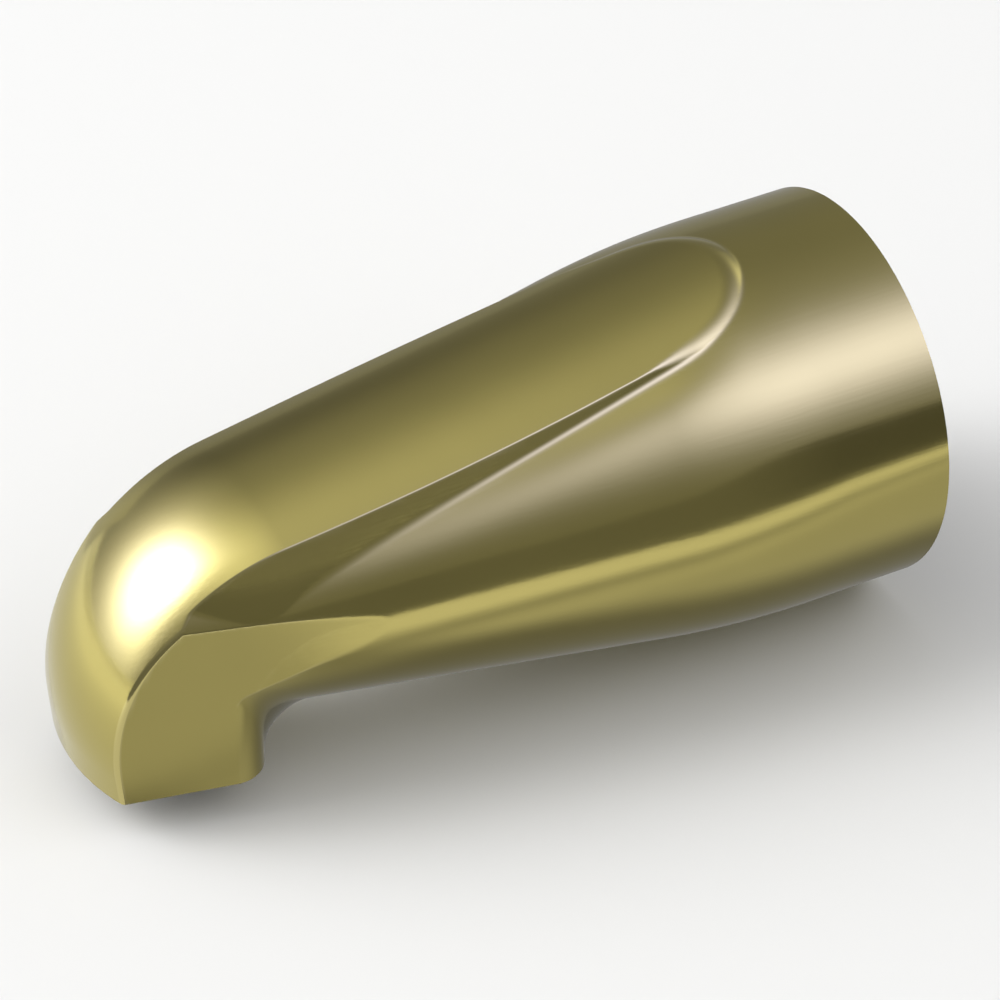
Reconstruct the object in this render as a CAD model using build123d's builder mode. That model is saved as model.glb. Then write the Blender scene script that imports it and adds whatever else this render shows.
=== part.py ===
from build123d import *

import os
from math import acos, atan2, cos, degrees, hypot, sin, tan

# Bath spout, one hollow casting. Millimetres, +Z up. The wall face is the plane Y = 0, the inlet axis is
# the Y axis, and the nose points along -Y. "Distance" below means distance from the wall face.

# Barrel: a round collar at the wall, then a blend into a tapered round body, which is throat_body_radius
# in radius where the outlet's rear wall meets it.
spout_length = 129.5
collar_radius = 30.0
collar_length = 17.0
taper_blend_length = 24.4
throat_body_radius = 18.3
wall_thickness = 2.8

# Hood: the raised band on top, with a round rear end and an arched section, which turns down at the nose.
# Its crown stands hood_rise over the collar at its start. At the outlet's rear wall it lies hood_front_drop
# under the round body's radius, so the top is flatter there than the body was.
hood_start = 20.0
hood_rise = 1.3
hood_front_drop = 0.8
hood_section_radius = 33.4
hood_end_radius = 13.2
hood_front_half_width = 13.4
nose_radius = 34.2
lip_tuck = 5.0
lip_drop = 23.6

# Cheeks: the flat flared sides of the nose, with an arched lower edge that runs back along the barrel.
# They lie cheek_recess inside the body's radius at the outlet's rear wall, and cheek_front_recess at the nose.
cheek_recess = 1.1
cheek_front_recess = 2.7
cheek_length = 21.3
cheek_edge_height = 2.2
cheek_arch_radius = 15.0
outlet_length = 25.5
outlet_corner_radius = 5.0

# Inlet: a boss on a bulkhead inside the barrel, bored to the major radius of a female pipe thread.
boss_radius = 14.5
thread_bore_radius = 10.6
thread_length = 17.0
bulkhead_distance = 84.0
bulkhead_thickness = 3.0
waterway_radius = 8.0

# Edge roundings.
hood_edge_radius = 1.5
throat_radius = 7.0
rim_radius = 0.8
outlet_edge_radius = 0.6

# Over-run of cutting solids past the faces that they cut.
overrun = 5.0

# Local x is the distance from the wall in both planes; local y is up in one and +X in the other.
side_plane = Plane(origin=(0, 0, 0), x_dir=(0, -1, 0), z_dir=(-1, 0, 0))
plan_plane = Plane(origin=(0, 0, 0), x_dir=(0, -1, 0), z_dir=(0, 0, 1))

outlet_rear = spout_length - outlet_length
cheek_rear = spout_length - cheek_length
front_limit = spout_length + overrun
crown_start = collar_radius + hood_rise
crown_end = throat_body_radius - hood_front_drop
taper = atan2(collar_radius - throat_body_radius, outlet_rear - collar_length - taper_blend_length / 2)
slope = atan2(crown_start - crown_end, outlet_rear - hood_start)
cone_start = collar_length + taper_blend_length
cone_start_radius = collar_radius - taper_blend_length * tan(taper / 2)


def cone_radius(distance):
    """Radius of the tapered body at a distance beyond the blend."""
    return cone_start_radius - (distance - cone_start) * tan(taper)


cheek_rear_half_width = throat_body_radius - cheek_recess
cheek_front_half_width = cone_radius(spout_length) - cheek_front_recess
flare = (cheek_rear_half_width - cheek_front_half_width) / outlet_length


def cheek_half_width(distance):
    """Half width between the flat cheeks at a distance from the wall."""
    return cheek_front_half_width + (spout_length - distance) * flare


def barrel(end, inset):
    """Solid of revolution from the wall to a distance, parallel to the outer form at an inset."""
    side_step = inset * sin(taper)
    down_step = inset * cos(taper)
    end_radius = cone_radius(end) - inset / cos(taper)
    with BuildPart() as solid:
        with BuildSketch(side_plane):
            with BuildLine():
                Line((0, 0), (0, collar_radius - inset))
                Line((0, collar_radius - inset), (collar_length, collar_radius - inset))
                TangentArc(
                    (collar_length, collar_radius - inset),
                    (cone_start - side_step, cone_start_radius - down_step),
                    tangent=(1, 0),
                )
                Line((cone_start - side_step, cone_start_radius - down_step), (end, end_radius))
                Line((end, end_radius), (end, 0))
                Line((end, 0), (0, 0))
            make_face()
        revolve(axis=Axis.Y)
    return solid.part


def crown_line(inset):
    """Crown of the hood in the middle plane: a straight run, the nose arc and the lip, at an inset."""
    arc_distance = spout_length - nose_radius + (nose_radius - inset) * sin(slope)
    start_distance = -inset * sin(slope)
    start_height = crown_start + hood_start * tan(slope) - inset * cos(slope)
    arc_height = start_height - (arc_distance - start_distance) * tan(slope)
    with BuildLine(side_plane) as line:
        top = Line((start_distance, start_height), (arc_distance, arc_height))
        nose = JernArc(top @ 1, top % 1, nose_radius - inset, degrees(slope) - lip_tuck - 90)
        Line(nose @ 1, nose @ 1 + (nose % 1) * (lip_drop + overrun))
    return line.line


def above_hood(inset):
    """Solid over the arched hood surface, along the whole crown line; cutting with it leaves the hood."""
    path = crown_line(inset)
    half_width = cheek_half_width(spout_length - nose_radius)
    section_radius = hood_section_radius - inset
    side_drop = section_radius - (section_radius**2 - half_width**2) ** 0.5
    with BuildPart() as solid:
        with BuildSketch(Plane(origin=path @ 0, x_dir=(1, 0, 0), z_dir=path % 0)):
            with BuildLine():
                ThreePointArc((-half_width, -side_drop), (0, 0), (half_width, -side_drop))
                Polyline(
                    (half_width, -side_drop),
                    (half_width, collar_radius),
                    (-half_width, collar_radius),
                    (-half_width, -side_drop),
                )
            make_face()
        sweep(path=path)
    return solid.part


def between_cheeks(start, inset, bottom, top, corner):
    """Upright prism between the cheeks, from a distance to past the nose; corner rounds its rear corners."""
    side_step = inset * hypot(1, flare)
    rear = cheek_half_width(start) - side_step
    front = cheek_half_width(front_limit) - side_step
    with BuildPart() as solid:
        with BuildSketch(plan_plane.offset(bottom)):
            Polygon((start, -rear), (front_limit, -front), (front_limit, front), (start, rear), align=None)
        extrude(amount=top - bottom)
        if corner > 0:
            uprights = solid.edges().filter_by(Axis.Z)
            fillet(uprights.filter_by(lambda edge: (edge @ 0).Y > -start - overrun), corner)
    return solid.part


def ahead_of_arch(bottom, top):
    """Prism across the spout, in front of the cheeks' arched lower edge and up to a height."""
    arch_start = cheek_rear - cheek_arch_radius
    arch_end = cheek_edge_height - cheek_arch_radius
    with BuildPart() as solid:
        with BuildSketch(side_plane):
            with BuildLine():
                TangentArc((arch_start, cheek_edge_height), (cheek_rear, arch_end), tangent=(1, 0))
                Polyline(
                    (cheek_rear, arch_end),
                    (cheek_rear, bottom),
                    (front_limit, bottom),
                    (front_limit, top),
                    (arch_start, top),
                    (arch_start, cheek_edge_height),
                )
            make_face()
        extrude(amount=collar_radius, both=True)
    return solid.part


# Throat form: the tapered body and a block for the lip under it, with a rounded throat between them.
throat_start = outlet_rear - 2 * throat_radius
with BuildPart() as throat_form:
    add(barrel(front_limit, 0))
    add(between_cheeks(outlet_rear, 0, -2 * lip_drop, 0, outlet_corner_radius))
    fillet(throat_form.edges(Select.NEW), throat_radius)
    add(between_cheeks(throat_start, -overrun, -3 * lip_drop, -lip_drop, 0), mode=Mode.SUBTRACT)

# Nose form: everything between the cheeks and under the hood, its long edges rounded.
nose_start = spout_length - nose_radius
with BuildPart() as nose_form:
    add(between_cheeks(nose_start, 0, -lip_drop, collar_radius, 0))
    add(above_hood(0), mode=Mode.SUBTRACT)
    cheeks = nose_form.faces().filter_by(lambda face: abs(face.normal_at().X) > 0.5)
    ridges = cheeks.edges().filter_by(GeomType.LINE, reverse=True)
    fillet(ridges, hood_edge_radius)

# Hood band: a plan outline with a round rear end and straight sides, cut to the hood surface.
end_centre = hood_start + hood_end_radius
side_reach = spout_length - end_centre
touch_angle = atan2(hood_front_half_width, side_reach)
touch_angle += acos(hood_end_radius / hypot(side_reach, hood_front_half_width))
touch_distance = end_centre + hood_end_radius * cos(touch_angle)
touch_half_width = hood_end_radius * sin(touch_angle)
with BuildPart() as hood_band:
    with BuildSketch(plan_plane):
        with BuildLine():
            ThreePointArc(
                (touch_distance, -touch_half_width),
                (hood_start, 0),
                (touch_distance, touch_half_width),
            )
            Polyline(
                (touch_distance, touch_half_width),
                (spout_length, hood_front_half_width),
                (spout_length, -hood_front_half_width),
                (touch_distance, -touch_half_width),
            )
        make_face()
    extrude(amount=collar_radius + overrun)
    add(above_hood(0), mode=Mode.SUBTRACT)
    walls = hood_band.faces().filter_by(lambda face: abs(face.normal_at().Z) < 0.01)
    ridges = walls.edges().filter_by(GeomType.LINE, reverse=True)
    fillet(ridges.filter_by(lambda edge: (edge @ 0.5).Z > 0.01), hood_edge_radius)

# Room outside the cheeks, in front of and above their lower edge.
with BuildPart() as cheek_room:
    add(ahead_of_arch(-collar_radius, collar_radius))
    with BuildSketch(side_plane):
        with Locations((cone_start, cheek_edge_height)):
            Rectangle(cheek_rear - cone_start, collar_radius, align=(Align.MIN, Align.MIN))
    extrude(amount=collar_radius, both=True)
    add(between_cheeks(0, 0, -collar_radius, 2 * collar_radius, 0), mode=Mode.SUBTRACT)

with BuildPart() as nose:
    add(throat_form.part)
    add(hood_band.part)
    add(nose_form.part, mode=Mode.INTERSECT)

with BuildPart() as hood_rear:
    add(hood_band.part)
    split(bisect_by=Plane.XZ.offset(nose_start + overrun), keep=Keep.BOTTOM)

# Chamber: the waterway in front of the bulkhead, which turns down to the outlet.
chamber_start = bulkhead_distance + bulkhead_thickness
duct_rear = outlet_rear + wall_thickness
duct_bottom = -lip_drop - overrun
duct_corner_radius = outlet_corner_radius - wall_thickness
with BuildPart() as chamber:
    add(barrel(front_limit, wall_thickness))
    split(bisect_by=Plane.XZ.offset(chamber_start), keep=Keep.TOP)
    add(between_cheeks(duct_rear, wall_thickness, duct_bottom, 0, duct_corner_radius))
    add(between_cheeks(cone_start, wall_thickness, -collar_radius, collar_radius, 0), mode=Mode.INTERSECT)
    add(above_hood(wall_thickness), mode=Mode.SUBTRACT)

with BuildPart() as spout_body:
    add(throat_form.part)
    split(bisect_by=Plane.XZ.offset(cheek_rear), keep=Keep.BOTTOM)
    add(hood_rear.part)
    add(cheek_room.part, mode=Mode.SUBTRACT)
    add(above_hood(0), mode=Mode.SUBTRACT)
    add(nose.part)
    add(barrel(bulkhead_distance, wall_thickness), mode=Mode.SUBTRACT)
    add(chamber.part, mode=Mode.SUBTRACT)
    with BuildSketch(Plane.XZ.offset(bulkhead_distance - thread_length)):
        Circle(boss_radius)
    extrude(amount=thread_length + bulkhead_thickness)
    with BuildSketch(Plane.XZ.offset(bulkhead_distance - thread_length)):
        Circle(thread_bore_radius)
    extrude(amount=thread_length, mode=Mode.SUBTRACT)
    with BuildSketch(Plane.XZ.offset(bulkhead_distance)):
        Circle(waterway_radius)
    extrude(amount=bulkhead_thickness, mode=Mode.SUBTRACT)
    rim = spout_body.edges().filter_by(GeomType.CIRCLE).group_by(Axis.Y)[-1]
    fillet(rim, rim_radius)
    outlet_face = spout_body.faces().filter_by(Axis.Z).sort_by(Axis.Z)[0]
    fillet(outlet_face.outer_wire().edges(), outlet_edge_radius)

os.makedirs("parts", exist_ok=True)
spout_body.part.label = "spout_body"
export_step(spout_body.part, "parts/spout_body.step")
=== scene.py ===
import math

import bpy
import numpy as np
from bpy.props import FloatProperty, FloatVectorProperty, IntProperty, PointerProperty
from mathutils import Matrix, Vector


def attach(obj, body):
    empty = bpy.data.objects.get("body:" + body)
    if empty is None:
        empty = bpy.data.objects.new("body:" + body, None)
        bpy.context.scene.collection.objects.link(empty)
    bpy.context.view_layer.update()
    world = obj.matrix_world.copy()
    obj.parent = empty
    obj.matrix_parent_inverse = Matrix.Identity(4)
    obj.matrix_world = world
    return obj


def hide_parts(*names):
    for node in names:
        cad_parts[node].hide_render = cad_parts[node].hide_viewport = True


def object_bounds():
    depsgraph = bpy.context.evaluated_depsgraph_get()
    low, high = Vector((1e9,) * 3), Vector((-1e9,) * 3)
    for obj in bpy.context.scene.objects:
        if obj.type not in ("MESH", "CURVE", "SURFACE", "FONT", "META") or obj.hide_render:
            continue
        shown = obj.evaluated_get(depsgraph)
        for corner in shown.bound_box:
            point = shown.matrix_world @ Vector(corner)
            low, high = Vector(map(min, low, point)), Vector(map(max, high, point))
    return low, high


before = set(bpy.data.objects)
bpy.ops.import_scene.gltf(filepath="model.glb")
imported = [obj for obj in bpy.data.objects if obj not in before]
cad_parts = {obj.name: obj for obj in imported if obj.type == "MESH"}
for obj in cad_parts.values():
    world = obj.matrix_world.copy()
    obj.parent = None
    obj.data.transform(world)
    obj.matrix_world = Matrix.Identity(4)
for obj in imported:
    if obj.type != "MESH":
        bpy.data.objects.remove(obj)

bl_info = {
    "name": "Bath spout",
    "version": (1, 0, 0),
    "blender": (4, 5, 0),
    "location": "View3D > Sidebar > Spout",
    "description": "Satin brass bath spout with its hood, cheeks, outlet and threaded inlet",
    "category": "Object",
}

CAD_BOX = [list(corner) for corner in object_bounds()]
FLOOR_Z = CAD_BOX[0][2]

# Sizes of the casting in millimetres. Distance s runs from the wall face to the nose, so s = -y.
MM = 0.001
LENGTH = 129.5
COLLAR_R = 30.0
COLLAR_LENGTH = 17.0
BLEND = 24.4
BODY_R = 18.3
WALL = 2.8
HOOD_START = 20.0
HOOD_RISE = 1.3
HOOD_FRONT_DROP = 0.8
HOOD_SECTION_R = 33.4
HOOD_END_R = 13.1
HOOD_HALF = 14.5
HOOD_WIDE_S = 75.5
HOOD_SIDE_R = 600.0
HOOD_FRONT_ROUND = 30.0
HOOD_DRAFT = math.radians(30.0)
HOOD_REAR_DRAFT = math.radians(17.0)
HOOD_DRAFT_DEPTH = 7.0
NOSE_R = 34.2
LIP_TUCK = math.radians(5.0)
LIP_Z = -23.6
CHEEK_RECESS = 1.1
CHEEK_FRONT_RECESS = 2.7
CHEEK_LENGTH = 21.3
CHEEK_EDGE_Z = 2.2
ARCH_R = 15.0
ARCH_RAMP = math.radians(10.0)
ARCH_TAIL_RAMP = math.radians(5.0)
TAIL_R = 8.0
OUTLET_LENGTH = 25.5
OUTLET_CORNER_R = 5.0
THROAT_R = 7.0
BOSS_R = 14.5
BORE_R = 10.6
BULKHEAD_S = 84.0
BULKHEAD = 3.0
BORE_LENGTH = 17.0
WATERWAY_R = 8.0
CHAMBER_R = 14.0
THREAD_RELIEF = 0.6
BORE_CHAMFER = 0.9
RIM_R = 0.8
LIP_EDGE_R = 0.6
MOUTH_EDGE_R = 0.4
SHARP_R = 0.01

# Places along the casting where a rounding or a slope changes, each with the length of the change.
GROOVE_S, GROOVE_RUN = 26.0, 14.0
REAR_DRAFT_S, REAR_DRAFT_RUN = 38.0, 12.0
CRESCENT_S, CRESCENT_RUN = 44.0, 14.0
FOOT_S, FOOT_RUN, FOOT_GROWTH = 60.0, 40.0, 1.4
TAIL_S, TAIL_RUN = 104.0, 14.0
GROOVE_FADE_Z = 6.0
BAND_BOTTOM_Z = 3.0

# Angles and centres that follow from the sizes.
REAR_S = LENGTH - OUTLET_LENGTH
ARCH_S = LENGTH - CHEEK_LENGTH - ARCH_R
TAPER = math.atan2(COLLAR_R - BODY_R, REAR_S - COLLAR_LENGTH - BLEND / 2)
SLOPE = math.atan2(COLLAR_R + HOOD_RISE - BODY_R + HOOD_FRONT_DROP, REAR_S - HOOD_START)
BLEND_R = BLEND / math.sin(TAPER)
CONE_S = COLLAR_LENGTH + BLEND
CONE_R = COLLAR_R - BLEND * math.tan(TAPER / 2)
NOSE_S = LENGTH - NOSE_R
NOSE_ARC = NOSE_R * (math.pi / 2 + LIP_TUCK - SLOPE)
NOSE_Z = (
    COLLAR_R
    + HOOD_RISE
    - (NOSE_S + NOSE_R * math.sin(SLOPE) - HOOD_START) * math.tan(SLOPE)
    - NOSE_R * math.cos(SLOPE)
)


def cone_radius(s):
    """Radius of the tapered body: it falls in a straight line with the distance."""
    return CONE_R - (s - CONE_S) * math.tan(TAPER)


CHEEK_FRONT = cone_radius(LENGTH) - CHEEK_FRONT_RECESS
FLARE = math.atan((BODY_R - CHEEK_RECESS - CHEEK_FRONT) / OUTLET_LENGTH)
THROAT_S = REAR_S - THROAT_R
THROAT_Z = -cone_radius(THROAT_S) - THROAT_R / math.cos(TAPER)

# The grid's planes turn from upright to level between these places. BEND_CROWN is the first of them as a
# path length on the crown line. A hub lies at its share of the way from the belly to the crown, and hubs sink
# to that from HUB_DROP_S on. A ray is halved within its reach. The rows are those of the rounded rim and of
# the rounded edge inside the outlet.
BEND_S = 90.0
BEND_Z = LIP_Z + 2.0
BEND_CROWN = (BEND_S - NOSE_S - NOSE_R * math.sin(SLOPE)) / math.cos(SLOPE)
HUB_DROP_S = 60.0
HUB_SHARE = 0.38
RAY_REACH = 42.0
HALVINGS = 26
RIM_ROWS = 6
MOUTH_ROWS = 4

# Turning of the surface per millimetre at which an edge starts to look polished, and the span to fully so.
EDGE_TURN, EDGE_TURN_SPAN = 0.12, 0.5


def smooth_step(t):
    """0 before 0, 1 after 1, and 3 t t - 2 t t t between."""
    t = np.clip(t, 0, 1)
    return t * t * (3 - 2 * t)


def bent_line(p, q, radius, first, last):
    """Distance outside a straight line that turns through an arc into another straight line.

    p and q are measured from the arc's centre. The direction of the nearest point, atan2(p, q), is held
    between the first and the last direction of the arc, and the distance is the part of (p, q) along it,
    less the radius. Returns the distance and the two parts of its direction."""
    turn = np.clip(np.arctan2(p, q), first, last)
    along, across = np.sin(turn), np.cos(turn)
    return p * along + q * across - radius, along, across


def barrel_field(x, s, z):
    """Collar, blend arc and cone: bent_line in the half plane of distance and radius."""
    rho = np.maximum(np.hypot(x, z), 1e-9)
    f, gs, gr = bent_line(s - COLLAR_LENGTH, rho - COLLAR_R + BLEND_R, BLEND_R, 0.0, TAPER)
    return np.stack([f, gr * x / rho, gs, gr * z / rho])


def hood_field(x, s, z):
    """Arched hood: the depth under the crown line is bent_line in the middle plane, and across it the
    section is a circle, so the distance is hypot(x, depth + section radius) less the section radius."""
    d, gs, gz = bent_line(s - NOSE_S, z - NOSE_Z, NOSE_R, SLOPE, math.pi / 2 + LIP_TUCK)
    deep = np.maximum(d + HOOD_SECTION_R, 1.0)
    reach = np.hypot(x, deep)
    return np.stack([reach - HOOD_SECTION_R, x / reach, gs * deep / reach, gz * deep / reach])


def cheek_field(x, s, z):
    """Two flat cheeks: the half width grows towards the wall by the tangent of the flare."""
    c, t = math.cos(FLARE), math.sin(FLARE)
    f = (np.abs(x) - CHEEK_FRONT) * c - (LENGTH - s) * t
    return np.stack([f, np.sign(x) * c, np.full_like(f, t), np.zeros_like(f)])


def arch_field(x, s, z):
    """Arched lower edge of the cheeks, seen from the side: level, quarter circle, upright."""
    f, gs, gz = bent_line(s - ARCH_S, z - CHEEK_EDGE_Z + ARCH_R, ARCH_R, 0.0, math.pi / 2)
    return np.stack([f, np.zeros_like(f), gs, gz])


def band_side_field(x, s, z):
    """Plan outline of the hood, a leaf: a circle at its rear, and two long arcs that touch it.

    Behind the line through both centres the distance is taken from the circle, in front of it from the
    long arc, whose centre lies on the far side of the middle plane."""
    far = HOOD_SIDE_R - HOOD_HALF
    behind = math.sqrt((HOOD_SIDE_R - HOOD_END_R) ** 2 - far**2)
    wide, along = np.abs(x) + far, s - HOOD_WIDE_S
    rear = along * far + behind * wide < 0
    p, q = np.where(rear, np.abs(x), wide), np.where(rear, along + behind, along)
    reach = np.maximum(np.hypot(p, q), 1e-9)
    f = reach - np.where(rear, HOOD_END_R, HOOD_SIDE_R)
    return np.stack([f, np.sign(x) * p / reach, q / reach, np.zeros_like(f)])


def slanted(side, top, draft, depth):
    """An upright side that leans out below a top face, and is upright again from a depth on.

    Down to the depth the field is cos(draft) times the side plus sin(draft) times the top face; below it
    the top face's share keeps its value there and gives no direction."""
    deep = top[0] < -depth
    share = np.concatenate([np.maximum(top[0], -depth)[None], np.where(deep, 0.0, top[1:])])
    leaning = np.cos(draft) * side + np.sin(draft) * share
    return leaning / np.maximum(np.linalg.norm(leaning[1:], axis=0), 1e-9)


def groove(field, side, depth, width):
    """A field let in beside an outline: depth times exp(-(distance / width) ** 2) is added to it outside."""
    away = np.maximum(side[0], 0) / width
    bell = depth * np.exp(-(away**2))
    grown = np.concatenate([(field[0] + bell)[None], field[1:] - 2 * away * bell / width * side[1:]])
    grown[1:] /= np.maximum(np.linalg.norm(grown[1:], axis=0), 1e-9)
    return grown


def cut(a, b, radius):
    """What two solids share, with a round edge.

    Each field is a distance and its direction. Both are first drawn in by the radius; where a point is
    outside both, its distance to their common edge, less the radius, is the new distance. With k the
    cosine between the directions that is sqrt((u u + v v - 2 k u v) / (1 - k k)) - radius. Elsewhere the
    larger distance holds."""
    k = np.clip((a[1:] * b[1:]).sum(0), -0.995, 0.995)
    u, v = a[0] + radius, b[0] + radius
    share = 1 - k * k
    alpha, beta = (u - k * v) / share, (v - k * u) / share
    reach = np.sqrt(np.maximum((u * u + v * v - 2 * k * u * v) / share, 1e-18))
    edge = np.concatenate([(reach - radius)[None], (alpha * a[1:] + beta * b[1:]) / reach])
    return np.where((alpha > 0) & (beta > 0), edge, np.where(a[0] > b[0], a, b))


def join(a, b, radius):
    """Two solids together, with the corner between them filled to a radius: the cut of what is outside."""
    return -cut(-a, -b, radius)


def casting_field(x, s, z, edges):
    """Outer form of the casting, negative inside, with the direction of its surface.

    Barrel and lip block are joined by the throat. The cheeks are cut back in front of their arched edge,
    where a ramp leads out to the barrel, less steep at its tail. The hood band is added with its leaning
    wall, beside which a groove is let into the barrel, and hood and cheeks bound the nose."""
    hood = hood_field(x, s, z)
    cheek = cheek_field(x, s, z)
    zero, one = np.zeros_like(s), np.ones_like(s)
    rear = np.stack([REAR_S - s, zero, -one, zero])
    level = np.stack([z, zero, zero, one])
    lip = cut(cut(cheek, rear, OUTLET_CORNER_R), level, SHARP_R)
    arch = arch_field(x, s, z)
    lean = ARCH_RAMP + (ARCH_TAIL_RAMP - ARCH_RAMP) * arch[3]
    ramp = np.cos(lean) * cheek + np.sin(lean) * arch
    flank = join(cheek, ramp, edges.corner_radius / MM)
    side = band_side_field(x, s, z)
    let_in = smooth_step(z / GROOVE_FADE_Z) * smooth_step((s - GROOVE_S) / GROOVE_RUN)
    let_in = edges.groove_depth / MM * let_in
    barrel = groove(barrel_field(x, s, z), side, let_in, edges.groove_width / MM)
    ledge = edges.ledge_radius / MM
    tail = ledge + TAIL_R * smooth_step((TAIL_S - s) / TAIL_RUN)
    body = cut(join(barrel, lip, THROAT_R), flank, tail)
    crescent = smooth_step((CRESCENT_S - s) / CRESCENT_RUN)
    ridge = (edges.ridge_radius + (edges.crescent_radius - edges.ridge_radius) * crescent) / MM
    foot = edges.foot_radius / MM * (1 + FOOT_GROWTH * smooth_step((s - FOOT_S) / FOOT_RUN))
    draft = HOOD_DRAFT + HOOD_REAR_DRAFT * smooth_step((REAR_DRAFT_S - s) / REAR_DRAFT_RUN)
    wall = slanted(cut(side, cheek, HOOD_FRONT_ROUND), hood, draft, HOOD_DRAFT_DEPTH)
    bottom = np.stack([BAND_BOTTOM_Z - z, zero, zero, -one])
    band = cut(cut(wall, hood, ridge), bottom, SHARP_R)
    nose = cut(flank, hood, edges.nose_radius / MM)
    return cut(join(body, band, foot), nose, ledge)


def crown_point(length):
    """Point of the crown line in the middle plane, at a path length from the start of the nose arc."""
    turn = SLOPE + np.clip(length, 0, NOSE_ARC) / NOSE_R
    before, after = np.minimum(length, 0), np.maximum(length - NOSE_ARC, 0)
    s = NOSE_S + NOSE_R * np.sin(turn) + before * math.cos(SLOPE) - after * math.sin(LIP_TUCK)
    z = NOSE_Z + NOSE_R * np.cos(turn) - before * math.sin(SLOPE) - after * math.cos(LIP_TUCK)
    return np.stack([s, z], -1)


def belly_point(length):
    """Point of the underside in the middle plane, at a path length from the start of the throat arc."""
    turn = TAPER - np.maximum(length, 0) / THROAT_R
    before = np.minimum(length, 0)
    s = THROAT_S - THROAT_R * np.sin(turn) + before * math.cos(TAPER)
    z = THROAT_Z + THROAT_R * np.cos(turn) + before * math.sin(TAPER)
    return np.stack([s, z], -1)


class Stations:
    """Planes across the casting, each with a hub inside it and an up direction in the middle plane.

    Up to the bend a plane is upright; through the bend it runs from a point of the belly to a point of
    the crown, both at the same share of their path lengths; in the lip it is level."""

    def __init__(self, hub, up, inset):
        self.hub, self.up, self.inset = hub, up, inset

    @classmethod
    def upright(cls, s, inset):
        """Upright planes, whose hubs sink from the inlet axis to the first hub of the bend."""
        top = crown_point(BEND_CROWN)
        bottom = -cone_radius(BEND_S)
        sink = smooth_step((s - HUB_DROP_S) / (BEND_S - HUB_DROP_S))
        drop = (bottom + HUB_SHARE * (top[1] - bottom)) * sink
        return cls(np.stack([s, drop], -1), np.tile([0.0, 1.0], (len(s), 1)), inset)

    @classmethod
    def between(cls, bottom, top, inset):
        """Planes through pairs of points of the belly and the crown."""
        up = top - bottom
        return cls(bottom + HUB_SHARE * up, up / np.linalg.norm(up, axis=1, keepdims=True), inset)

    @classmethod
    def bend(cls, share, inset):
        """Planes through the bend, by their share of the way along it."""
        last_top = NOSE_ARC + (crown_point(NOSE_ARC)[1] - BEND_Z) / math.cos(LIP_TUCK)
        first_belly = (BEND_S - belly_point(0.0)[0]) / math.cos(TAPER)
        last_belly = THROAT_R * (TAPER + math.acos((BEND_Z - THROAT_Z) / THROAT_R))
        return cls.between(
            belly_point(first_belly + share * (last_belly - first_belly)),
            crown_point(BEND_CROWN + share * (last_top - BEND_CROWN)),
            inset,
        )

    @classmethod
    def lip(cls, z, inset):
        """Level planes through the lip, by their height."""
        top = crown_point(NOSE_ARC + (crown_point(NOSE_ARC)[1] - z) / math.cos(LIP_TUCK))
        belly = belly_point(THROAT_R * (TAPER + np.arccos((z - THROAT_Z) / THROAT_R)))
        return cls.between(belly, top, inset)

    @classmethod
    def chain(cls, *parts):
        """The planes of several sets in one, in their order."""
        return cls(*(np.concatenate([getattr(p, key) for p in parts]) for key in ("hub", "up", "inset")))

    def solve(self, angle, edges):
        """Points and directions where rays from the hubs meet the casting's field at minus the inset.

        A ray leaves the hub at an angle from straight down; the crossing is found by halving."""
        hub, up = self.hub[:, None, :], self.up[:, None, :]
        side = np.sin(angle)
        s_way, z_way = -np.cos(angle) * up[..., 0], -np.cos(angle) * up[..., 1]
        low, high = np.zeros_like(angle), np.full_like(angle, RAY_REACH)
        for _ in range(HALVINGS):
            middle = (low + high) / 2
            s, z = hub[..., 0] + middle * s_way, hub[..., 1] + middle * z_way
            inside = casting_field(middle * side, s, z, edges)[0] < -self.inset[:, None]
            low, high = np.where(inside, middle, low), np.where(inside, high, middle)
        r = (low + high) / 2
        points = np.stack([r * side, hub[..., 0] + r * s_way, hub[..., 1] + r * z_way], -1)
        field = casting_field(points[..., 0], points[..., 1], points[..., 2], edges)
        return points, np.moveaxis(field[1:], 0, -1)


def quarter(count):
    """Angles over a quarter circle, both ends included."""
    return np.linspace(0, math.pi / 2, count)


def outer_stations():
    """Planes of the outer skin from the wall rim to the outlet's edge, close together at the details.

    A run is its first place, its end and its count of planes."""
    a = math.pi / 2 - quarter(RIM_ROWS)[:-1]
    rim = Stations.upright(RIM_R * (1 - np.sin(a)), RIM_R * (1 - np.cos(a)))
    runs = [(RIM_R, 19.0, 13), (19.0, 23.0, 16), (23.0, 35.0, 30), (35.0, 78.0, 36), (78.0, BEND_S, 20)]
    s = np.concatenate([np.linspace(a0, b0, n, endpoint=False) for a0, b0, n in runs])
    share = np.linspace(0, 1, 122, endpoint=False)
    z = np.linspace(BEND_Z, LIP_Z + LIP_EDGE_R, 4, endpoint=False)
    b = quarter(5)
    edge_z = LIP_Z + LIP_EDGE_R * (1 - np.sin(b))
    return Stations.chain(
        rim,
        Stations.upright(s, np.zeros_like(s)),
        Stations.bend(share, np.zeros_like(share)),
        Stations.lip(z, np.zeros_like(z)),
        Stations.lip(edge_z, LIP_EDGE_R * (1 - np.cos(b))),
    )


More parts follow.
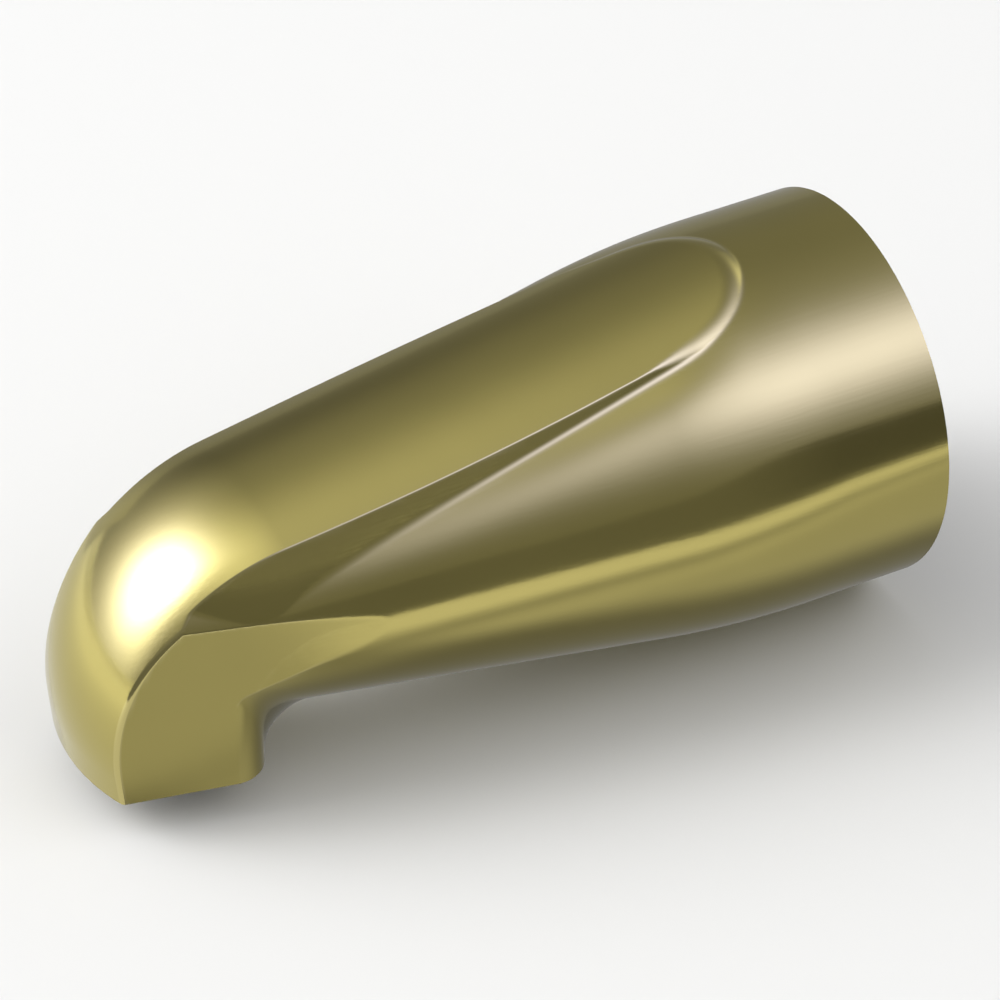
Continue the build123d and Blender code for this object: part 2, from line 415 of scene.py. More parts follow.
def inner_stations():
    """Planes of the outlet's mouth, the duct and the nose chamber, back to the bulkhead."""
    radius = MOUTH_EDGE_R
    b = quarter(MOUTH_ROWS)
    z = np.linspace(LIP_Z + radius, BEND_Z, 4)[1:]
    share = np.linspace(1, 0, 34)[1:]
    s = np.linspace(BEND_S, BULKHEAD_S + BULKHEAD, 7)[1:]
    return Stations.chain(
        Stations.lip(LIP_Z + radius * (1 - np.cos(b)), WALL - radius * (1 - np.sin(b))),
        Stations.lip(z, np.full_like(z, WALL)),
        Stations.bend(share, np.full_like(share, WALL)),
        Stations.upright(s, np.full_like(s, WALL)),
    )


def even_angles(stations, edges, count):
    """Ray angles from bottom to top, spread so that each step has the same share of length and of turning.

    On a fine set of rays the weight is the step's share of the half section's length plus the share of
    its turning. The weights are smoothed along the casting, added up, and read back at equal steps, so
    the lines of the grid gather along the ridges and the ledges."""
    fine_count, turn_share, reach_rows, bell_rows = 541, 0.3, 12, 5.0
    fine = np.linspace(0, math.pi, fine_count)
    points, ways = stations.solve(np.tile(fine, (len(stations.hub), 1)), edges)
    step = np.linalg.norm(np.diff(points, axis=1), axis=2)
    turn = np.linalg.norm(np.diff(ways, axis=1), axis=2)
    weight = step / step.sum(1, keepdims=True) + turn_share * np.minimum(turn, 1.0)
    reach = np.arange(-reach_rows, reach_rows + 1)
    bell = np.exp(-((reach / bell_rows) ** 2))
    padded = np.pad(weight, ((reach_rows, reach_rows), (0, 0)), mode="edge")
    starts = reach + reach_rows
    weight = sum(b * padded[k : k + len(weight)] for k, b in zip(starts, bell / bell.sum()))
    total = np.pad(np.cumsum(weight, 1), ((0, 0), (1, 0)))
    total /= total[:, -1:]
    even = np.linspace(0, 1, count + 1)
    return np.stack([np.interp(even, row, fine) for row in total])


def both_sides(half):
    """Rings from their right halves: the left half has x negated, without the two middle points."""
    mirror = half[:, -2:0:-1] * np.array([-1, 1, 1])
    return np.concatenate([half, mirror], 1)


def inlet_profile():
    """Distance and radius of the inlet's turned surfaces, from the waterway to the wall rim.

    The corners of the profile are the waterway, the bore's end, the boss, the bulkhead and the hollow
    barrel; each corner is rounded by an arc that touches both of its lines."""
    back, front = BULKHEAD_S, BULKHEAD_S + BULKHEAD
    mouth = back - BORE_LENGTH
    inner_cone = cone_radius(back) - WALL / math.cos(TAPER)
    before = [(front, CHAMBER_R), (front, WATERWAY_R), (back, WATERWAY_R), (back, BORE_R)]
    before.append((back - THREAD_RELIEF, BORE_R))
    after = [(mouth + BORE_CHAMFER, BORE_R), (mouth, BORE_R + BORE_CHAMFER), (mouth, BOSS_R)]
    after += [(back, BOSS_R), (back, inner_cone)]
    before_radii, after_radii = [0, 0.8, 0.4, 0.4, 0], [0, 0.3, 0.8, 1.6, 1.6, 0]
    lead_in = round_corners(before, before_radii)
    turn = np.linspace(TAPER, 0, 9)
    inner_r = BLEND_R - WALL
    blend = [COLLAR_LENGTH + inner_r * np.sin(turn), COLLAR_R - BLEND_R + inner_r * np.cos(turn)]
    blend = np.stack(blend, -1)
    cone = np.stack([np.linspace(back, blend[0, 0], 12), np.linspace(inner_cone, blend[0, 1], 12)], -1)
    collar_middle = [8.0, COLLAR_R - WALL]
    wall = np.concatenate([cone[1:-1], blend, [collar_middle]])
    boss = round_corners(after + [tuple(cone[1])], after_radii)
    a = quarter(RIM_ROWS)
    rim = np.stack([RIM_R * (1 - np.sin(a)), COLLAR_R - WALL + RIM_R * (1 - np.cos(a))], -1)
    return lead_in, np.concatenate([boss, wall[1:], rim])


def round_corners(points, radii):
    """Polyline whose corners are arcs: each starts and ends at the radius over tan(half the corner's angle)
    from its corner."""
    points = [Vector(p) for p in points]
    made = [points[0]]
    for before, corner, after, radius in zip(points, points[1:], points[2:], radii[1:]):
        a, b = (before - corner).normalized(), (after - corner).normalized()
        half = a.angle(b) / 2
        centre = corner + (a + b).normalized() * radius / math.sin(half)
        start, end = corner + a * radius / math.tan(half), corner + b * radius / math.tan(half)
        sweep = (start - centre).angle_signed(end - centre)
        for share in (0, 0.25, 0.5, 0.75, 1):
            made.append(centre + Matrix.Rotation(-share * sweep, 2) @ (start - centre))
    made.append(points[-1])
    return np.array([tuple(p) for p in made])


def thread_rings(edges, roll):
    """Female pipe thread as rings along the bore.

    The radius is the bore's less the ridge height times a flat-topped wave of the phase, which is the
    distance over the pitch plus the turn; the ridges fade out at both ends of the bore."""
    rings_per_pitch, steepness, flat = 9, 1.25, 0.125
    pitch, height = edges.thread_pitch / MM, edges.thread_height / MM
    first, last = BULKHEAD_S - THREAD_RELIEF, BULKHEAD_S - BORE_LENGTH + BORE_CHAMFER
    count = int(round((first - last) / pitch * rings_per_pitch))
    s = np.linspace(first, last, count + 1)[1:-1, None]
    wave = np.abs(((s / pitch + roll[None] / (2 * math.pi)) % 1.0) * 2 - 1)
    ridge = np.clip(wave * steepness - flat, 0, 1)
    fade = smooth_step((first - s) / pitch) * smooth_step((s - last) / pitch)
    return np.broadcast_to(s, ridge.shape), BORE_R - height * ridge * fade


def turned(s, r, roll):
    """Points on circles about the inlet axis: x = r sin(roll), z = -r cos(roll)."""
    return np.stack([r * np.sin(roll), np.broadcast_to(s, r.shape), -r * np.cos(roll)], -1)


def grid_ways(points):
    """Surface direction of a closed grid: the cross product of the differences along and around."""
    along = np.roll(points, -1, 0) - np.roll(points, 1, 0)
    around = np.roll(points, -1, 1) - np.roll(points, 1, 1)
    way = np.cross(along, around)
    return way / np.maximum(np.linalg.norm(way, axis=2, keepdims=True), 1e-12)


def casting_grid(edges):
    """Closed grid of the whole casting: outer skin, outlet mouth, duct, chamber, waterway, bore, boss,
    hollow barrel and rim, each ring of the grid going once around. Returns points, directions and the
    count of the outer skin's rings."""
    outer = outer_stations()
    angles = even_angles(outer, edges, edges.ring_count // 2)
    skin, skin_ways = outer.solve(angles, edges)
    inner = inner_stations()
    last = np.argmin(np.abs(outer.hub[:, 0] - BULKHEAD_S - BULKHEAD))
    places = np.linspace(len(angles) - 1, last, len(inner.hub))
    lower = np.floor(places).astype(int)
    mix = (places - lower)[:, None]
    inner_angles = angles[lower] * (1 - mix) + angles[np.minimum(lower + 1, len(angles) - 1)] * mix
    duct, duct_ways = inner.solve(inner_angles, edges)
    skin, skin_ways = both_sides(skin), both_sides(skin_ways)
    duct, duct_ways = both_sides(duct), -both_sides(duct_ways)
    roll = np.unwrap(np.arctan2(duct[-1, :, 0], -duct[-1, :, 2]))
    rim_roll = np.unwrap(np.arctan2(skin[0, :, 0], -skin[0, :, 2]))
    lead_in, barrel = inlet_profile()
    thread_s, thread_r = thread_rings(edges, roll)
    share = smooth_step(np.linspace(0, 1, len(barrel)))[:, None]
    barrel_roll = roll * (1 - share) + rim_roll * share
    rings = [
        turned(lead_in[:, :1], np.broadcast_to(lead_in[:, 1:], (len(lead_in), len(roll))), roll),
        turned(thread_s, thread_r, roll),
        turned(barrel[:, :1], np.broadcast_to(barrel[:, 1:], barrel_roll.shape), barrel_roll),
    ]
    points = np.concatenate([skin, duct] + rings)
    ways = grid_ways(points)
    if (ways[: len(skin)] * skin_ways).sum() < 0:
        ways = -ways
    ways[: len(skin)] = skin_ways
    ways[len(skin) + MOUTH_ROWS : len(skin) + len(duct) - 1] = duct_ways[MOUTH_ROWS:-1]
    return points, ways, len(skin)


def grid_mesh(name, points, ways):
    """Mesh of a grid that closes on itself both along and around, with the given directions as normals."""
    rows, columns = points.shape[:2]
    index = np.arange(rows * columns).reshape(rows, columns)
    right, ahead = np.roll(index, -1, 1), np.roll(index, -1, 0)
    quads = np.stack([index, right, np.roll(right, -1, 0), ahead], -1).reshape(-1, 4)
    flat = points.reshape(-1, 3)
    corner = flat[quads]
    facing = np.cross(corner[:, 1] - corner[:, 0], corner[:, 2] - corner[:, 0])
    if (facing * ways.reshape(-1, 3)[quads[:, 0]]).sum() < 0:
        quads = quads[:, ::-1]
    mesh = bpy.data.meshes.new(name)
    mesh.vertices.add(len(flat))
    mesh.vertices.foreach_set("co", flat.astype(np.float32).ravel())
    mesh.loops.add(quads.size)
    mesh.loops.foreach_set("vertex_index", quads.astype(np.int32).ravel())
    mesh.polygons.add(len(quads))
    mesh.polygons.foreach_set("loop_start", np.arange(0, quads.size, 4, dtype=np.int32))
    mesh.polygons.foreach_set("use_smooth", np.ones(len(quads), bool))
    mesh.update(calc_edges=True)
    mesh.validate()
    mesh.normals_split_custom_set_from_vertices(ways.reshape(-1, 3).astype(np.float32))
    return mesh


def add_attribute(mesh, name, values):
    """One number for each vertex, which a material reads by its name."""
    layer = mesh.attributes.new(name, "FLOAT", "POINT")
    layer.data.foreach_set("value", values.astype(np.float32).ravel())


class Wire:
    """A socket of a material. Sums, differences and products of wires and numbers add Math nodes."""

    def __init__(self, sheet, socket):
        self.sheet, self.socket = sheet, socket

    def math(self, operation, *values):
        return self.sheet.add("ShaderNodeMath", {"operation": operation}, dict(enumerate(values)))

    def __add__(self, other):
        return self.math("ADD", self, other)

    def __sub__(self, other):
        return self.math("SUBTRACT", self, other)

    def __rsub__(self, other):
        return self.math("SUBTRACT", other, self)

    def __mul__(self, other):
        return self.math("MULTIPLY", self, other)

    __radd__ = __add__
    __rmul__ = __mul__


class Sheet:
    """The node tree of a material or of the world, cleared and ready for new nodes."""

    def __init__(self, owner):
        owner.use_nodes = True
        self.tree = owner.node_tree
        self.tree.nodes.clear()

    def add(self, kind, settings=None, inputs=None, output=0):
        """A new node: its settings first, then the values or wires of its sockets. Returns one output."""
        node = self.tree.nodes.new(kind)
        for key, value in (settings or {}).items():
            setattr(node, key, value)
        for key, value in (inputs or {}).items():
            if isinstance(value, Wire):
                self.tree.links.new(value.socket, node.inputs[key])
            else:
                node.inputs[key].default_value = value
        return Wire(self, node.outputs[output]) if node.outputs else node

    def noise(self, place, scale, detail, roughness):
        """Soft noise between 0 and 1 at a place."""
        inputs = {"Vector": place, "Scale": scale, "Detail": detail, "Roughness": roughness}
        return self.add("ShaderNodeTexNoise", None, inputs)

    def mix_color(self, factor, first, second):
        """A colour between two others. Sockets 6 and 7 and output 2 of the node are its colours."""
        inputs = {"Factor": factor, 6: first, 7: second}
        return self.add("ShaderNodeMix", {"data_type": "RGBA"}, inputs, output=2)


def shaded(color, factor):
    """A colour made darker or paler by a factor, with its fourth number."""
    return (*(min(1.0, factor * c) for c in color), 1.0)


def brass_material(finish):
    """Satin brass outside, with fine polishing lines along the spout and soft clouds; bare casting inside.

    The attribute as_cast is 1 in the hollow and 0 on the polished skin, and edge is larger where the
    surface turns sharply, where polishing has made it a little paler and smoother."""
    material = bpy.data.materials.new("satin_brass_finish")
    sheet = Sheet(material)
    place = sheet.add("ShaderNodeTexCoord", output=3)
    inside = sheet.add("ShaderNodeAttribute", {"attribute_name": "as_cast"}, output=2)
    edge = sheet.add("ShaderNodeAttribute", {"attribute_name": "edge"}, output=2)
    stretched = sheet.add("ShaderNodeMapping", None, {"Vector": place, "Scale": (1600.0, 45.0, 1600.0)})
    lines = sheet.noise(stretched, scale=1.0, detail=4.0, roughness=0.6)
    cloud = sheet.noise(place, scale=38.0, detail=3.0, roughness=0.55)
    grain = sheet.noise(place, scale=900.0, detail=5.0, roughness=0.65)
    pits = sheet.add("ShaderNodeTexVoronoi", {"feature": "F1"}, {"Vector": place, "Scale": 620.0})
    polished = sheet.mix_color(cloud, shaded(finish.brass_color, 0.93), shaded(finish.brass_color, 1.06))
    polished = sheet.mix_color(edge * 0.5, polished, (*finish.edge_color, 1.0))
    cast = sheet.mix_color(grain, shaded(finish.cast_color, 0.75), (*finish.cast_color, 1.0))
    color = sheet.mix_color(inside, polished, cast)
    satin = finish.roughness - 0.05 + lines * 0.05 + cloud * 0.05 - edge * 0.03
    rough = satin * (1 - inside) + (0.42 + grain * 0.22) * inside
    height = lines * (1 - inside) * 0.12 + (grain * 0.8 + pits * 0.5) * inside
    relief = {"Strength": finish.bump, "Distance": 0.0002, "Height": height}
    normal = sheet.add("ShaderNodeBump", None, relief)
    skin = {"Base Color": color, "Metallic": 1.0, "Roughness": rough, "Normal": normal}
    shader = sheet.add("ShaderNodeBsdfPrincipled", None, skin)
    sheet.add("ShaderNodeOutputMaterial", None, {"Surface": shader})
    return material


class SpoutEdges(bpy.types.PropertyGroup):
    """Small radii of the casting and the sizes of its thread."""

    ridge_radius: FloatProperty(
        name="Ridge radius", description="Rounding along the hood's sides", default=0.0003, min=0.0002,
        max=0.006, subtype="DISTANCE", unit="LENGTH",
    )
    crescent_radius: FloatProperty(
        name="Crescent radius", description="Rounding at the hood's rear end", default=0.006, min=0.0002,
        max=0.008, subtype="DISTANCE", unit="LENGTH",
    )
    nose_radius: FloatProperty(
        name="Nose edge radius", description="Rounding between the nose and its cheeks", default=0.0011,
        min=0.0002, max=0.006, subtype="DISTANCE", unit="LENGTH",
    )
    groove_depth: FloatProperty(
        name="Groove depth", description="How far the barrel is let in beside the hood", default=0.0008,
        min=0.0, max=0.0015, subtype="DISTANCE", unit="LENGTH",
    )
    groove_width: FloatProperty(
        name="Groove width", description="Reach of the let-in strip beside the hood", default=0.004,
        min=0.001, max=0.008, subtype="DISTANCE", unit="LENGTH",
    )
    foot_radius: FloatProperty(
        name="Foot radius", description="Filling between the hood's side and the barrel", default=0.0018,
        min=0.0001, max=0.006, subtype="DISTANCE", unit="LENGTH",
    )
    corner_radius: FloatProperty(
        name="Corner radius", description="Filling of the corner between a cheek and the ramp below it",
        default=0.005, min=0.0001, max=0.01, subtype="DISTANCE", unit="LENGTH",
    )
    ledge_radius: FloatProperty(
        name="Ledge radius", description="Rounding of the edge around the cheeks", default=0.0008, min=0.0001,
        max=0.002, subtype="DISTANCE", unit="LENGTH",
    )
    thread_pitch: FloatProperty(
        name="Thread pitch", description="Distance between the thread's ridges", default=0.0254 / 14,
        min=0.001, max=0.004, subtype="DISTANCE", unit="LENGTH",
    )
    thread_height: FloatProperty(
        name="Thread height", description="Height of the thread's ridges", default=0.00125, min=0.0,
        max=0.002, subtype="DISTANCE", unit="LENGTH",
    )
    ring_count: IntProperty(
        name="Points in a ring", description="Points of the grid around the casting", default=200, min=40,
        max=220,
    )


class BrassFinish(bpy.types.PropertyGroup):
    """Colours and gloss of the casting."""

    brass_color: FloatVectorProperty(
        name="Brass", description="Colour of the satin brass skin", default=(0.42, 0.362, 0.12),
        subtype="COLOR", min=0, max=1,
    )
    edge_color: FloatVectorProperty(
        name="Edges", description="Colour where the edges are polished thin", default=(0.56, 0.49, 0.22),
        subtype="COLOR", min=0, max=1,
    )
    cast_color: FloatVectorProperty(
        name="Casting", description="Colour of the bare casting inside", default=(0.34, 0.31, 0.25),
        subtype="COLOR", min=0, max=1,
    )
    roughness: FloatProperty(
        name="Roughness", description="Roughness of the satin skin", default=0.14, min=0.02, max=1.0,
        subtype="FACTOR",
    )
    bump: FloatProperty(
        name="Relief", description="Strength of polishing lines and casting grain", default=0.25, min=0.0,
        max=1.0, subtype="FACTOR",
    )


class StudioLook(bpy.types.PropertyGroup):
    """Floor, light and lens of the stage."""

    floor_color: FloatVectorProperty(
        name="Floor", description="Colour of the pale floor", default=(0.735, 0.735, 0.73), subtype="COLOR",
        min=0, max=1,
    )
    lamp_color: FloatVectorProperty(
        name="Lamp colour", description="Colour of the lamps at the side and the nose",
        default=(0.97, 0.99, 2.3), subtype="COLOR", min=0, max=3,
    )
    room_light: FloatProperty(name="Room", description="Light from all sides", default=0.31, min=0, max=2)
    overhead_light: FloatProperty(name="Overhead", description="Light from above", default=1.3, min=0, max=4)
    nose_light: FloatProperty(
        name="Nose lamp", description="Light in front of the nose", default=4.0, min=0, max=20
    )
    rear_light: FloatProperty(
        name="Rear lamp", description="Light behind the hood's end", default=1.1, min=0, max=8
    )
    side_light: FloatProperty(
        name="Side lamp", description="Light beside the barrel", default=1.9, min=0, max=20
    )
    card_light: FloatProperty(
        name="Dark card", description="Light of the dark card", default=0.14, min=0, max=1
    )
    bounce_light: FloatProperty(
        name="Bounce card", description="Light that the pale card adds to the floor's", default=0.6, min=0,
        max=2,
    )
    # Mid tone of the painted floor reflection, away from the painted shadow of the part.
    painted_floor_light: FloatProperty(
        name="Front floor", description="Light of the floor before the part in reflections", default=0.68,
        min=0, max=2,
    )
    tent_radius: FloatProperty(
        name="Tent radius", description="Distance of the soft light from the part", default=4.0, min=0.5,
        max=8.0, subtype="DISTANCE", unit="LENGTH",
    )
    lens: FloatProperty(
        name="Lens", description="Focal length of the camera in millimetres", default=194.4, min=20, max=400
    )


class SPOUT_OT_body(bpy.types.Operator):
    """Makes the casting as one closed surface and shows it in place of the plain solid"""

    bl_idname = "spout.body"
    bl_label = "Spout body"

    def execute(self, context):
        edges, finish = context.scene.spout_edges, context.scene.spout_finish
        points, ways, skin_rings = casting_grid(edges)
        flip = np.array([1, -1, 1])
        mesh = grid_mesh("spout_casting", points * MM * flip, ways * flip)
        inside = np.zeros(points.shape[:2])
        inside[skin_rings + MOUTH_ROWS - 1 : -RIM_ROWS] = 1.0
        step = np.linalg.norm(np.roll(points, -1, 1) - points, axis=2)
        turn = np.linalg.norm(np.roll(ways, -1, 1) - ways, axis=2) / np.maximum(step, 1e-6)
        edge = np.clip((turn - EDGE_TURN) / EDGE_TURN_SPAN, 0, 1) * (1 - inside)
        add_attribute(mesh, "as_cast", inside)
        add_attribute(mesh, "edge", edge)
        body = bpy.data.objects.new("spout_casting", mesh)
        context.scene.collection.objects.link(body)
        mesh.materials.append(brass_material(finish))
        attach(body, "root")
        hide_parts("spout_body")
        return {"FINISHED"}


# Patches of the tent in degrees: the turn and height of the centre, then the reach to the left, to the
# right, below and above. The overhead patch is round, about a direction.
NOSE_PATCH = (-105, 39), (40, 8, 34, 19)
NOSE_CORE = (-116, 38), (22, 10, 20, 16)
SIDE_PATCH = (31, 45), (26, 51, 19, 20)
REAR_PATCH = (105, 28), (28, 22, 16, 11)
SHADE_PATCH = (172, 20), (9, 20, 14, 16)
OVERHEAD_WAY, OVERHEAD_REACH = (-0.079, -0.341, 0.937), 27.0

# Direction from the part to the camera in the floor's plane, along x and y.
TOWARD = (0.885, -0.466)


def lobe(turn, height, centre, spread):
    """Soft patch: the exponential of minus the squared distances over the spreads, each side its own."""
    across, upward = (turn - centre[0] + 180) % 360 - 180, height - centre[1]
    left, right, below, above = spread
    wide = np.where(across < 0, across / left, across / right)
    tall = np.where(upward < 0, upward / below, upward / above)
    return np.exp(-(wide**2) - tall**2)


def tent_light(turn, height, ways, look):
    """Light of the tent by direction: an even tone, an overhead patch, lamps by the nose, side and
    rear, and a darker patch low on the far side. The part named cool has the lamps' colour."""
    away = np.degrees(np.arccos(np.clip(ways @ np.array(OVERHEAD_WAY), -1, 1)))
    overhead = np.exp(-((away / OVERHEAD_REACH) ** 2))
    patches = (NOSE_PATCH, NOSE_CORE, SIDE_PATCH, REAR_PATCH, SHADE_PATCH)
    nose, core, side, rear, shade = (lobe(turn, height, *patch) for patch in patches)
    plain = look.room_light * (1 - 0.45 * shade) + look.overhead_light * overhead + look.rear_light * rear
    plain = plain + look.nose_light * (0.75 * nose + 0.4 * core)
    cool = look.nose_light * (0.25 * nose + 1.2 * core) + look.side_light * side
    return plain[..., None] * np.ones(3) + cool[..., None] * np.array(look.lamp_color)


def across_view(toward, side, up):
    """Points by their distance toward the camera in the floor's plane, to the side of that and up."""
    return np.stack([toward * TOWARD[0] - side * TOWARD[1], toward * TOWARD[1] + side * TOWARD[0], up], -1)


class SPOUT_OT_stage(bpy.types.Operator):
    """Adds the pale floor, the studio light and the camera"""

    bl_idname = "spout.stage"
    bl_label = "Studio"

    def execute(self, context):
        look = context.scene.spout_stage
        scene = context.scene
        scene.view_settings.view_transform = "Standard"
        self.add_floor(scene, look)
        self.add_world(scene)
        self.add_tent(scene, look)
        self.add_dark_cards(scene, look)
        self.add_bounce_card(scene, look)
        # Painted shadow of the part and painted pale lines on the floor, seen only in reflections.
        self.add_painted_floor_reflection(scene, look)
        self.add_camera(scene, look)
        return {"FINISHED"}

    def add_stage_mesh(self, scene, name, points, faces, material):
        """A mesh that belongs to the stage and not to the part."""
        mesh = bpy.data.meshes.new(name)
        mesh.from_pydata(points, [], faces)
        mesh.materials.append(material)
        obj = bpy.data.objects.new(name, mesh)
        scene.collection.objects.link(obj)
        return obj

    def add_floor(self, scene, look):
        """Square floor under the part, which is clear from below so that the underside can be seen."""
        half, height = 9.0, FLOOR_Z
        material = bpy.data.materials.new("pale_floor")
        sheet = Sheet(material)
        paint = sheet.add("ShaderNodeBsdfDiffuse", None, {"Color": (*look.floor_color, 1.0)})
        clear = sheet.add("ShaderNodeBsdfTransparent")
        under = sheet.add("ShaderNodeNewGeometry", None, None, "Backfacing")
        surface = sheet.add("ShaderNodeMixShader", None, {0: under, 1: paint, 2: clear})
        sheet.add("ShaderNodeOutputMaterial", None, {"Surface": surface})
        corners = [(-half, -half, height), (half, -half, height), (half, half, height), (-half, half, height)]
        self.add_stage_mesh(scene, "floor", corners, [(0, 1, 2, 3)], material)

    def add_world(self, scene):
        """Plain white around the tent."""
        world = bpy.data.worlds.new("white_room")
        scene.world = world
        sheet = Sheet(world)
        light = sheet.add("ShaderNodeBackground", None, {"Color": (1.0, 1.0, 1.0, 1.0), "Strength": 1.0})
        sheet.add("ShaderNodeOutputWorld", None, {"Surface": light})

    def glow_material(self, name):
        """Light that each vertex of a card gives off, from its colour attribute."""
        material = bpy.data.materials.new(name)
        sheet = Sheet(material)
        color = sheet.add("ShaderNodeAttribute", {"attribute_name": "light"}, None, "Color")
        glow = sheet.add("ShaderNodeEmission", None, {"Color": color, "Strength": 1.0})
        sheet.add("ShaderNodeOutputMaterial", None, {"Surface": glow})
        material.cycles.emission_sampling = "NONE"
        return material

    def add_glowing_grid(self, scene, name, points, light, mirrored_only=False):
        """A grid of points that gives off light, one tone or colour for each; the camera never sees it."""
        if light.ndim == 2:
            light = np.repeat(light[..., None], 3, axis=-1)
        rows, columns = points.shape[:2]
        index = np.arange(rows * columns).reshape(rows, columns)
        quads = np.stack([index[:-1, :-1], index[:-1, 1:], index[1:, 1:], index[1:, :-1]], -1)
        corners, faces = points.reshape(-1, 3).tolist(), quads.reshape(-1, 4).tolist()
        obj = self.add_stage_mesh(scene, name, corners, faces, self.glow_material(name))
        layer = obj.data.attributes.new("light", "FLOAT_COLOR", "POINT")
        values = np.concatenate([light.reshape(-1, 3), np.ones((light.size // 3, 1))], 1)
        layer.data.foreach_set("color", values.astype(np.float32).ravel())
        obj.visible_camera = False
        obj.visible_diffuse = obj.visible_shadow = obj.visible_transmission = not mirrored_only
        return obj

    def add_tent(self, scene, look):
        """Half a sphere of soft light around the part, twice: the colourless one lights what is dull, and
        the one with the lamps' colour shows in reflections alone."""
        centre, mirror_scale = np.array([0.0, -0.065, FLOOR_Z]), 0.97
        turns, heights = np.radians(np.linspace(-180, 180, 121)), np.radians(np.linspace(0, 90, 46))
        turn, height = np.meshgrid(turns, heights)
        level = np.cos(height)
        ways = np.stack([np.cos(turn) * level, np.sin(turn) * level, np.sin(height)], -1)
        points = ways * look.tent_radius + centre
        light = tent_light(np.degrees(turn), np.degrees(height), ways, look)
        self.add_glowing_grid(scene, "light_tent", points, light[..., 1]).visible_glossy = False
        self.add_glowing_grid(scene, "mirror_tent", points * mirror_scale, light, True)

    def add_dark_cards(self, scene, look):
        """Dark cards before and behind the part, across the camera's line, which only reflections show.

        The front card rises toward the wall, and its foot lifts and its tone pales toward the nose; the
        rear card pales past the nose."""
        front_reach, rear_reach, rear_height = 0.115, 0.075, 0.066
        top_low, top_rise, foot_lift = 0.010, 0.032, 0.011
        side, share = np.meshgrid(np.linspace(-0.22, 0.5, 73), [0.0, 1.0])
        top = top_low + top_rise * smooth_step(side / 0.10)
        foot = FLOOR_Z + foot_lift * smooth_step((-0.035 - side) / 0.03)
        points = across_view(front_reach, side, foot + share * (top - foot))
        dark = look.card_light * (1.0 + 0.75 * smooth_step((0.12 - side) / 0.10))
        self.add_glowing_grid(scene, "front_card", points, dark, True)
        points = across_view(-rear_reach, side, FLOOR_Z + share * rear_height)
        light = look.room_light * (1.2 + smooth_step((-0.14 - side) / 0.06))
        self.add_glowing_grid(scene, "rear_card", points, light, True)

    def add_bounce_card(self, scene, look):
        """Pale card on the floor in front of the nose, which only reflections show.

        It fades to the floor's own tone at the edges that lie near the part."""
        above_floor, floor_tone, edge_x, edge_y = 0.0005, 0.95, 0.12, -0.13
        x, y = np.meshgrid(np.linspace(-0.32, edge_x, 23), np.linspace(-0.62, edge_y, 25))
        points = np.stack([x, y, np.full_like(x, FLOOR_Z + above_floor)], -1)
        inner = smooth_step((edge_y - y) / 0.13) * smooth_step((edge_x - x) / 0.10)
        self.add_glowing_grid(scene, "bounce_card", points, floor_tone + look.bounce_light * inner, True)

    def add_painted_floor_reflection(self, scene, look):
        """Painted reflection of the floor between the part and the dark card, which only reflections show: a
        painted shadow of the part beside it, then a mid tone, a painted pale line with a dark one behind it,
        and a pale far strip.

        The painted shadow ends along a slanting line that follows the part, by smooth_step of the distance
        from it."""
        above_floor, painted_shadow_tone, strip_light, painted_line_light = 0.0004, 0.26, 0.55, 0.12
        slant, painted_shadow_width, painted_shadow_growth, painted_shadow_fade = 0.527, 0.0125, 0.02, 0.018
        side, toward = np.meshgrid(np.linspace(-0.105, 0.2, 62), np.linspace(-0.03, 0.115, 59))
        points = across_view(toward, side, np.full_like(side, FLOOR_Z + above_floor))
        # Painted reflections of the floor: a pale far strip, and a pale line with a dark one behind it.
        strip = smooth_step((toward - 0.078) / 0.012) * smooth_step((side + 0.07) / 0.03)
        line = np.exp(-(((toward - 0.066) / 0.006) ** 2)) - np.exp(-(((toward - 0.076) / 0.004) ** 2))
        clear = toward + slant * side - painted_shadow_width - painted_shadow_growth * smooth_step((side + 0.09) / 0.03)
        # Painted shadow of the part on the floor, seen in reflections: darkest beside the part, paling to the
        # floor's mid tone away from it.
        shade = painted_shadow_tone + (look.painted_floor_light - painted_shadow_tone) * smooth_step(clear / painted_shadow_fade)
        light = shade + strip_light * strip + painted_line_light * line
        self.add_glowing_grid(scene, "painted_floor_reflection", points, light, True)

    def add_camera(self, scene, look):
        """Camera at the photograph's angle, aimed a little to the right of the part's middle and above it."""
        azimuth, elevation, reach = math.radians(62.26), math.radians(38.08), 0.7874
        aside, above = 0.00628, 0.00087
        level = math.cos(elevation)
        back = Vector((math.sin(azimuth) * level, -math.cos(azimuth) * level, math.sin(elevation)))
        right = Vector((math.cos(azimuth), math.sin(azimuth), 0.0))
        up = back.cross(right)
        middle = Vector((0.0, -0.066, 0.0))
        data = bpy.data.cameras.new("camera")
        data.lens, data.sensor_width = look.lens, 36.0
        camera = bpy.data.objects.new("camera", data)
        camera.location = middle + back * reach
        look_at = middle + right * aside + up * above
        camera.rotation_euler = (look_at - camera.location).to_track_quat("-Z", "Y").to_euler()
        scene.collection.objects.link(camera)
        scene.camera = camera


class SPOUT_PT_panel(bpy.types.Panel):
    """Lists the pieces and their sizes and colours"""

    bl_idname = "SPOUT_PT_panel"
    bl_label = "Bath spout"
    bl_space_type = "VIEW_3D"
    bl_region_type = "UI"
    bl_category = "Spout"

    def draw(self, context):
        groups = (("spout_edges", "spout.body"), ("spout_finish", None), ("spout_stage", "spout.stage"))
        for group, operator in groups:
            settings = getattr(context.scene, group)
            for name in settings.__annotations__:
                self.layout.prop(settings, name)
            if operator:
                self.layout.operator(operator)


CLASSES = (SpoutEdges, BrassFinish, StudioLook, SPOUT_OT_body, SPOUT_OT_stage, SPOUT_PT_panel)


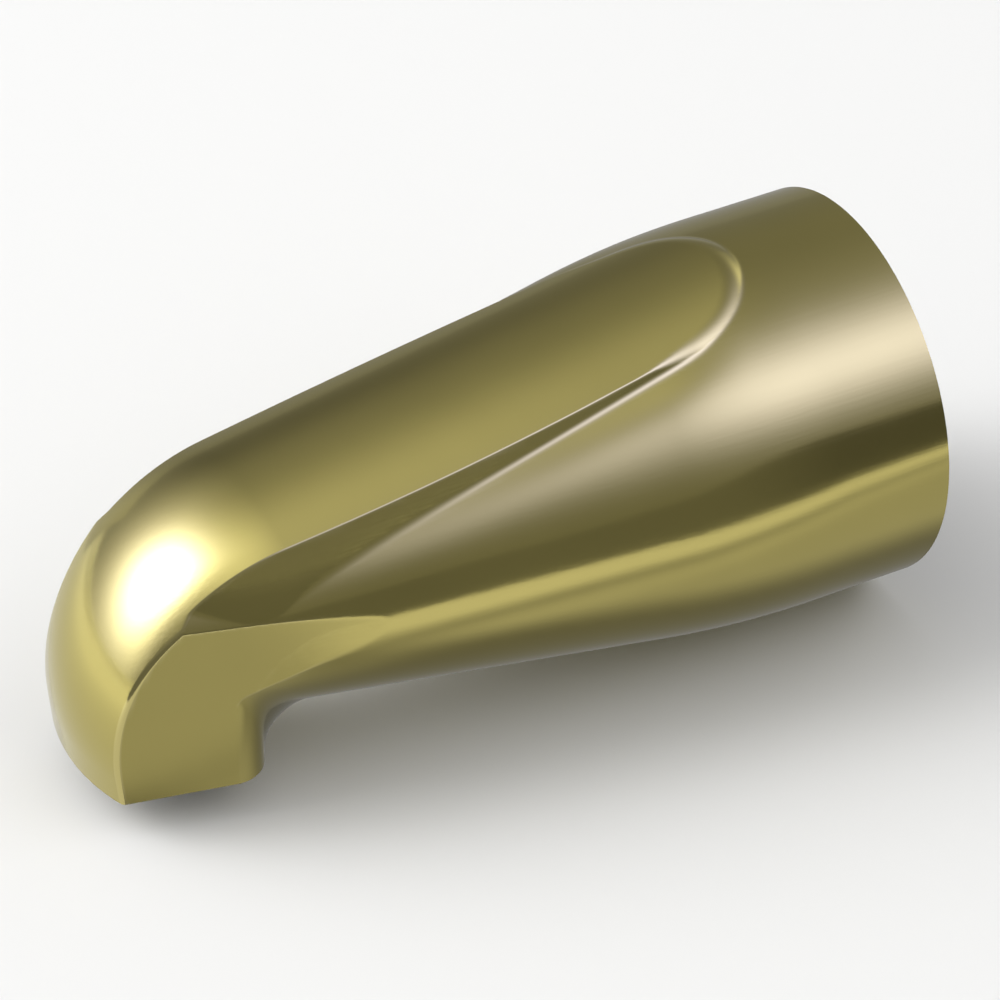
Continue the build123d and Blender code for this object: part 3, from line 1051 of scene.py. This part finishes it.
def register():
    for item in CLASSES:
        bpy.utils.register_class(item)
    bpy.types.Scene.spout_edges = PointerProperty(type=SpoutEdges)
    bpy.types.Scene.spout_finish = PointerProperty(type=BrassFinish)
    bpy.types.Scene.spout_stage = PointerProperty(type=StudioLook)


def unregister():
    del bpy.types.Scene.spout_stage
    del bpy.types.Scene.spout_finish
    del bpy.types.Scene.spout_edges
    for item in reversed(CLASSES):
        bpy.utils.unregister_class(item)


def main():
    register()
    bpy.ops.spout.body()
    bpy.ops.spout.stage()


if __name__ == "__main__":
    main()
